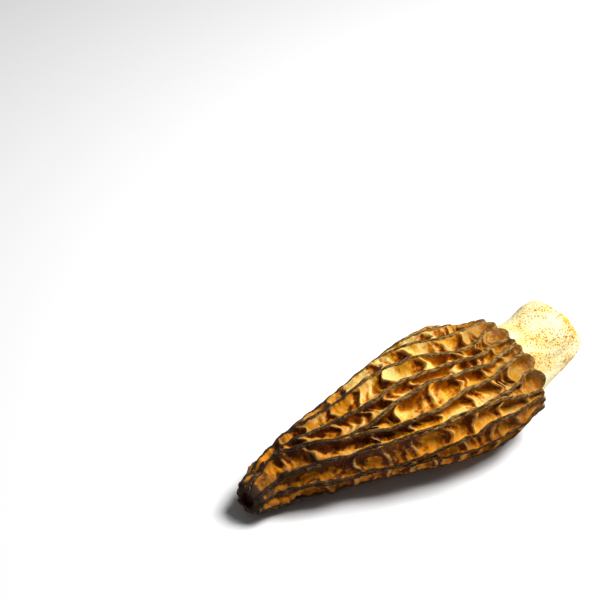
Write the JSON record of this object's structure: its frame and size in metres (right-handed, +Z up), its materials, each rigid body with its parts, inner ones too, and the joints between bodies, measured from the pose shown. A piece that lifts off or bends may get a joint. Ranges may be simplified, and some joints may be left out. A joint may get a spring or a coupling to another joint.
{
  "type": "morel mushroom",
  "caption": "Dried morel mushroom lying on its side: a hollow, blunt cone of a cap with lengthwise ribs and deep pits, on a short hollow stem.",
  "frame": {"origin": "middle of the bounding box, on the surface that the mushroom lies on", "axes": "+X along the mushroom from the tip of its cap to the open end of its stem, +Y level, +Z up"},
  "size_m": [0.0786, 0.0272, 0.0264],
  "materials": {
    "cap": "dry, faintly waxy flesh: golden brown pits, charcoal brown rib crests",
    "stem": "matt, mealy cream flesh with rust brown speckles"
  },
  "bodies": {
    "root": {"cap": "cap", "stem": "stem"}
  },
  "joints": []
}
